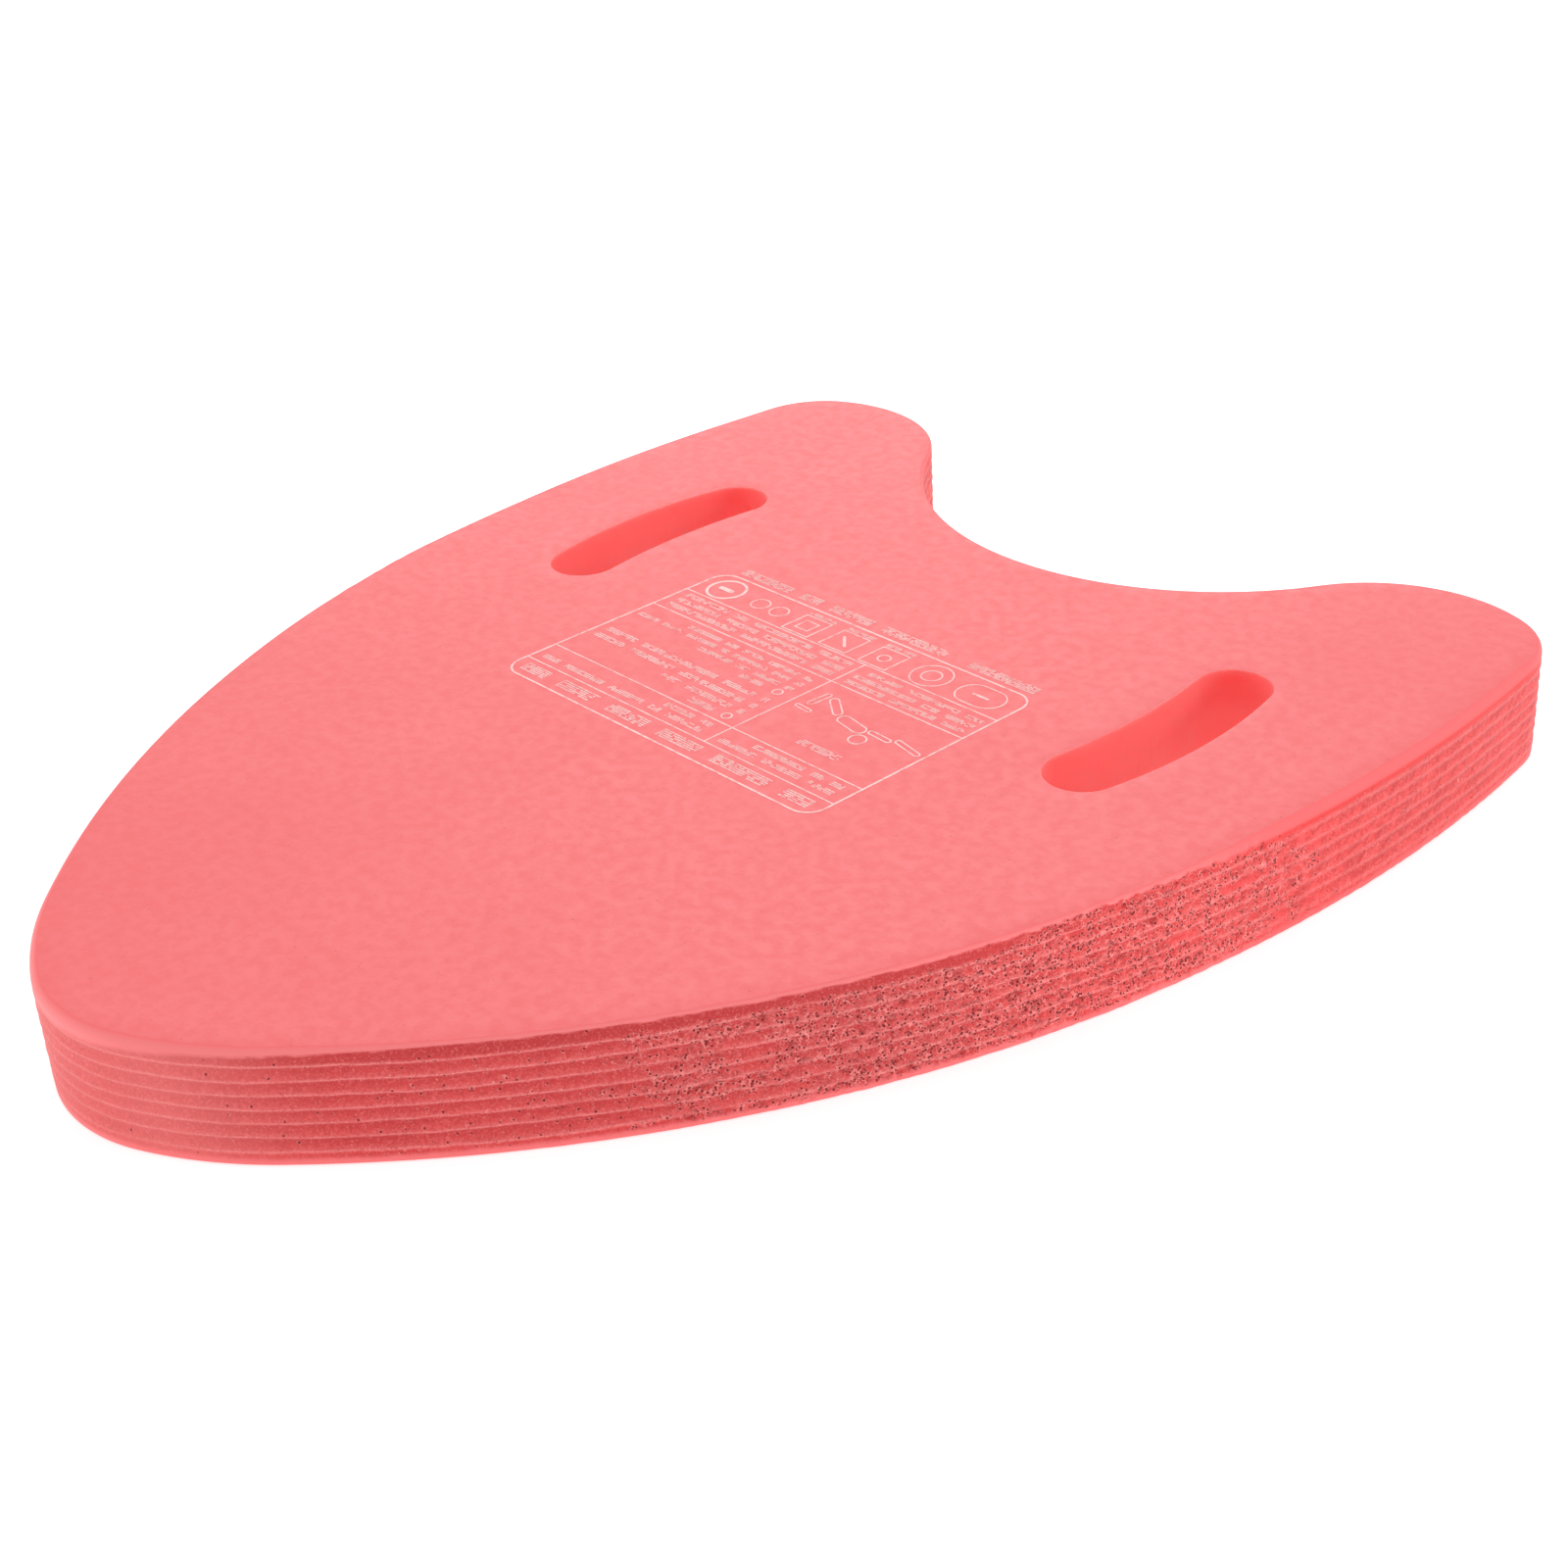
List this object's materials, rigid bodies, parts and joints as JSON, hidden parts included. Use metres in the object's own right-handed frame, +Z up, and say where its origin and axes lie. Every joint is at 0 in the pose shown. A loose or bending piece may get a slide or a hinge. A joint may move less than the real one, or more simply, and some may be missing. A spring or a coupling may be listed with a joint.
{
  "type": "swimming kickboard",
  "caption": "Flat A-shaped swim-training float of coral closed-cell foam, with fluted edges, curved hand slots and a greeked white print panel.",
  "frame": {"origin": "centre of the bounding box's bottom face, on the surface the board lies on", "axes": "+Z up out of the printed face, +Y from the rounded tip to the notched end, +X to the right when looking along +Y"},
  "size_m": [0.347, 0.43, 0.0351],
  "materials": {
    "foam": "matte closed-cell EVA foam, cut open and lightly torn on the side wall",
    "ink": "thin matte screen print"
  },
  "bodies": {
    "root": {"foam_board": "foam", "printed_frame": "ink", "printed_text": "ink", "printed_symbols": "ink", "printed_swimmer": "ink"}
  },
  "joints": []
}
